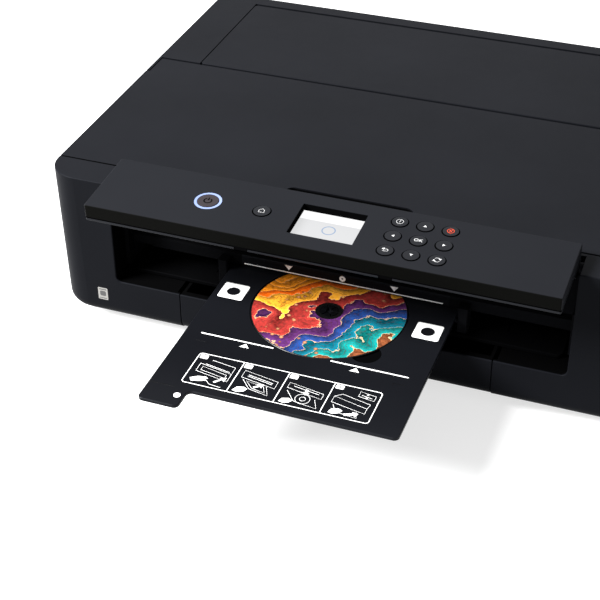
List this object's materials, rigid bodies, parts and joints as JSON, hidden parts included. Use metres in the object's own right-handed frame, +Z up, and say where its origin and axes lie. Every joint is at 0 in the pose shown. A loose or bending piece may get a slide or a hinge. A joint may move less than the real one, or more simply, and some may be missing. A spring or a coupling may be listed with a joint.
{
  "type": "disc label printer",
  "caption": "Wide inkjet photo printer that prints on discs, with a raised control panel, a disc tray in its front slot, a paper cassette and a working inner mechanism.",
  "frame": {"origin": "on the table, midway between the front edge of the disc tray and the back of the case, and midway across", "axes": "+X to the right seen from the front, +Y to the back, +Z up"},
  "size_m": [0.479, 0.5174, 0.1488],
  "materials": {
    "case_plastic": "fine-textured charcoal",
    "pan_plastic": "textured black",
    "panel_plastic": "fine satin charcoal",
    "panel_back_plastic": "satin black",
    "key_plastic": "satin black with white marks",
    "stop_key_plastic": "satin black with a red mark",
    "screen_glass": "lit screen",
    "light_ring": "lit translucent",
    "board": "solder-masked board",
    "steel": "ground",
    "sheet_steel": "galvanised",
    "black_plastic": "moulded black",
    "tray_plastic": "satin black",
    "guide_plastic": "moulded dark grey",
    "disc_coat": "printed glossy face",
    "carriage_plastic": "moulded black",
    "cartridge_plastic": "moulded dark grey",
    "head_metal": "etched nozzle plate",
    "gear_plastic": "natural white",
    "roller_rubber": "ground",
    "star_steel": "bright",
    "belt_rubber": "ribbed",
    "foot_rubber": "matt",
    "motor_steel": "plated can",
    "felt": "absorbent felt"
  },
  "bodies": {
    "case": {"outer_case": "case_plastic", "base_pan": "pan_plastic", "rubber_feet": "foot_rubber", "back_cover": "case_plastic", "panel_pins": "black_plastic", "disc_guide": "black_plastic", "platen": "black_plastic", "left_frame": "sheet_steel", "right_frame": "sheet_steel", "guide_rod": "steel", "carriage_rail": "sheet_steel", "timing_belt": "belt_rubber", "carriage_motor": "motor_steel", "capping_station": "black_plastic", "feed_motor": "motor_steel", "pinch_holder": "black_plastic", "paper_chute": "black_plastic", "waste_ink_pad": "felt", "power_supply": "sheet_steel", "mains_inlet": "black_plastic", "main_board": "board"},
    "control_panel": {"panel_face": "panel_plastic", "panel_back": "panel_back_plastic", "lcd_screen": "screen_glass", "power_light_ring": "light_ring", "panel_board": "board"},
    "printer_cover": {"top_cover": "case_plastic"},
    "rear_feed_cover": {"feed_cover": "case_plastic"},
    "cassette": {"paper_cassette": "case_plastic"},
    "guide_right": {"right_paper_guide": "guide_plastic"},
    "guide_left": {"left_paper_guide": "guide_plastic"},
    "print_tray": {"output_tray": "tray_plastic"},
    "disc_carrier": {"disc_tray": "tray_plastic", "disc": "disc_coat"},
    "head_carriage": {"carriage": "carriage_plastic", "ink_cartridges": "cartridge_plastic", "print_head": "head_metal"},
    "belt_drive_pulley": {"drive_pulley": "gear_plastic"},
    "belt_idler_pulley": {"idler_pulley": "gear_plastic"},
    "feed_shaft": {"feed_roller": "roller_rubber", "feed_gear": "gear_plastic"},
    "exit_shaft": {"exit_rollers": "roller_rubber", "exit_gear": "gear_plastic"},
    "idler_wheel": {"idler_gear": "gear_plastic"},
    "motor_gear": {"motor_pinion": "gear_plastic"},
    "pinch_set": {"pinch_rollers": "roller_rubber"},
    "star_set": {"star_wheels": "star_steel"},
    "pickup_lever": {"pickup_arm": "black_plastic"},
    "pickup_tyre": {"pickup_roller": "roller_rubber"},
    "help_button": {"help_key": "key_plastic"},
    "up_button": {"up_key": "key_plastic"},
    "stop_button": {"stop_key": "stop_key_plastic"},
    "left_button": {"left_key": "key_plastic"},
    "ok_button": {"ok_key": "key_plastic"},
    "right_button": {"right_key": "key_plastic"},
    "back_button": {"back_key": "key_plastic"},
    "down_button": {"down_key": "key_plastic"},
    "cycle_button": {"cycle_key": "key_plastic"},
    "home_button": {"home_key": "key_plastic"},
    "power_button": {"power_key": "key_plastic"}
  },
  "joints": [
    {"name": "panel_hinge", "type": "hinge", "parent": "case", "child": "control_panel", "pos_m": [0, -0.09275, 0.1311], "axis": [1, 0, 0], "range_deg": [0, 86.15]},
    {"name": "cover_hinge", "type": "hinge", "parent": "case", "child": "printer_cover", "pos_m": [0, 0.09375, 0.129], "axis": [-1, 0, 0], "range_deg": [0, 60]},
    {"name": "feed_cover_hinge", "type": "hinge", "parent": "case", "child": "rear_feed_cover", "pos_m": [0, 0.23675, 0.1315], "axis": [-1, 0, 0], "range_deg": [0, 100]},
    {"name": "cassette_slide", "type": "slide", "parent": "case", "child": "cassette", "axis": [0, -1, 0], "range_m": [0, 0.2]},
    {"name": "right_guide_slide", "type": "slide", "parent": "cassette", "child": "guide_right", "axis": [-1, 0, 0], "range_m": [0, 0.05]},
    {"name": "left_guide_slide", "type": "slide", "parent": "cassette", "child": "guide_left", "axis": [1, 0, 0], "range_m": [0, 0.05]},
    {"name": "print_tray_slide", "type": "slide", "parent": "case", "child": "print_tray", "axis": [0, -1, 0], "range_m": [0, 0.1]},
    {"name": "disc_tray_slide", "type": "slide", "parent": "case", "child": "disc_carrier", "axis": [0, 1, 0], "range_m": [-0.05, 0.15]},
    {"name": "carriage_slide", "type": "slide", "parent": "case", "child": "head_carriage", "axis": [-1, 0, 0], "range_m": [0, 0.31]},
    {"name": "drive_pulley_spin", "type": "hinge", "parent": "case", "child": "belt_drive_pulley", "pos_m": [-0.196, 0.04025, 0.1], "axis": [0, 1, 0], "continuous": true},
    {"name": "idler_pulley_spin", "type": "hinge", "parent": "case", "child": "belt_idler_pulley", "pos_m": [0.204, 0.04025, 0.1], "axis": [0, 1, 0], "continuous": true},
    {"name": "feed_spin", "type": "hinge", "parent": "case", "child": "feed_shaft", "pos_m": [0, 0.04175, 0.054], "axis": [1, 0, 0], "continuous": true},
    {"name": "idler_spin", "type": "hinge", "parent": "case", "child": "idler_wheel", "pos_m": [0, -0.00298, 0.05892], "axis": [1, 0, 0], "continuous": true},
    {"name": "exit_spin", "type": "hinge", "parent": "case", "child": "exit_shaft", "pos_m": [0, -0.03965, 0.0565], "axis": [1, 0, 0], "continuous": true},
    {"name": "motor_spin", "type": "hinge", "parent": "case", "child": "motor_gear", "pos_m": [0, 0.07166, 0.04005], "axis": [1, 0, 0], "continuous": true},
    {"name": "pinch_spin", "type": "hinge", "parent": "case", "child": "pinch_set", "pos_m": [0, 0.04175, 0.0686], "axis": [1, 0, 0], "continuous": true},
    {"name": "star_spin", "type": "hinge", "parent": "case", "child": "star_set", "pos_m": [0, -0.03965, 0.0691], "axis": [1, 0, 0], "continuous": true},
    {"name": "pickup_swing", "type": "hinge", "parent": "case", "child": "pickup_lever", "pos_m": [0, 0.08575, 0.054], "axis": [-1, 0, 0], "range_deg": [0, 25]},
    {"name": "pickup_spin", "type": "hinge", "parent": "pickup_lever", "child": "pickup_tyre", "pos_m": [0, 0.13575, 0.0536], "axis": [1, 0, 0], "continuous": true},
    {"name": "help_press", "type": "slide", "parent": "control_panel", "child": "help_button", "axis": [0, 0.0671, -0.9977], "range_m": [0, 0.0008], "stiffness_N_per_m": 500, "springref_m": -0.0004},
    {"name": "up_press", "type": "slide", "parent": "control_panel", "child": "up_button", "axis": [0, 0.0671, -0.9977], "range_m": [0, 0.0008], "stiffness_N_per_m": 500, "springref_m": -0.0004},
    {"name": "stop_press", "type": "slide", "parent": "control_panel", "child": "stop_button", "axis": [0, 0.0671, -0.9977], "range_m": [0, 0.0008], "stiffness_N_per_m": 500, "springref_m": -0.0004},
    {"name": "left_press", "type": "slide", "parent": "control_panel", "child": "left_button", "axis": [0, 0.0671, -0.9977], "range_m": [0, 0.0008], "stiffness_N_per_m": 500, "springref_m": -0.0004},
    {"name": "ok_press", "type": "slide", "parent": "control_panel", "child": "ok_button", "axis": [0, 0.0671, -0.9977], "range_m": [0, 0.0008], "stiffness_N_per_m": 500, "springref_m": -0.0004},
    {"name": "right_press", "type": "slide", "parent": "control_panel", "child": "right_button", "axis": [0, 0.0671, -0.9977], "range_m": [0, 0.0008], "stiffness_N_per_m": 500, "springref_m": -0.0004},
    {"name": "back_press", "type": "slide", "parent": "control_panel", "child": "back_button", "axis": [0, 0.0671, -0.9977], "range_m": [0, 0.0008], "stiffness_N_per_m": 500, "springref_m": -0.0004},
    {"name": "down_press", "type": "slide", "parent": "control_panel", "child": "down_button", "axis": [0, 0.0671, -0.9977], "range_m": [0, 0.0008], "stiffness_N_per_m": 500, "springref_m": -0.0004},
    {"name": "cycle_press", "type": "slide", "parent": "control_panel", "child": "cycle_button", "axis": [0, 0.0671, -0.9977], "range_m": [0, 0.0008], "stiffness_N_per_m": 500, "springref_m": -0.0004},
    {"name": "home_press", "type": "slide", "parent": "control_panel", "child": "home_button", "axis": [0, 0.0671, -0.9977], "range_m": [0, 0.0008], "stiffness_N_per_m": 500, "springref_m": -0.0004},
    {"name": "power_press", "type": "slide", "parent": "control_panel", "child": "power_button", "axis": [0, 0.0671, -0.9977], "range_m": [0, 0.0008], "stiffness_N_per_m": 500, "springref_m": -0.0004}
  ],
  "couplings": [
    {"joint": "left_guide_slide", "follows": "right_guide_slide", "ratio": 1},
    {"joint": "drive_pulley_spin", "follows": "carriage_slide", "rad_per_m": 132.45},
    {"joint": "idler_pulley_spin", "follows": "carriage_slide", "rad_per_m": 132.45},
    {"joint": "idler_spin", "follows": "feed_spin", "ratio": -1.1429},
    {"joint": "exit_spin", "follows": "feed_spin", "ratio": 1.5238},
    {"joint": "motor_spin", "follows": "feed_spin", "ratio": -2.6667},
    {"joint": "pinch_spin", "follows": "feed_spin", "ratio": -1.875},
    {"joint": "star_spin", "follows": "feed_spin", "ratio": -1.6931}
  ]
}
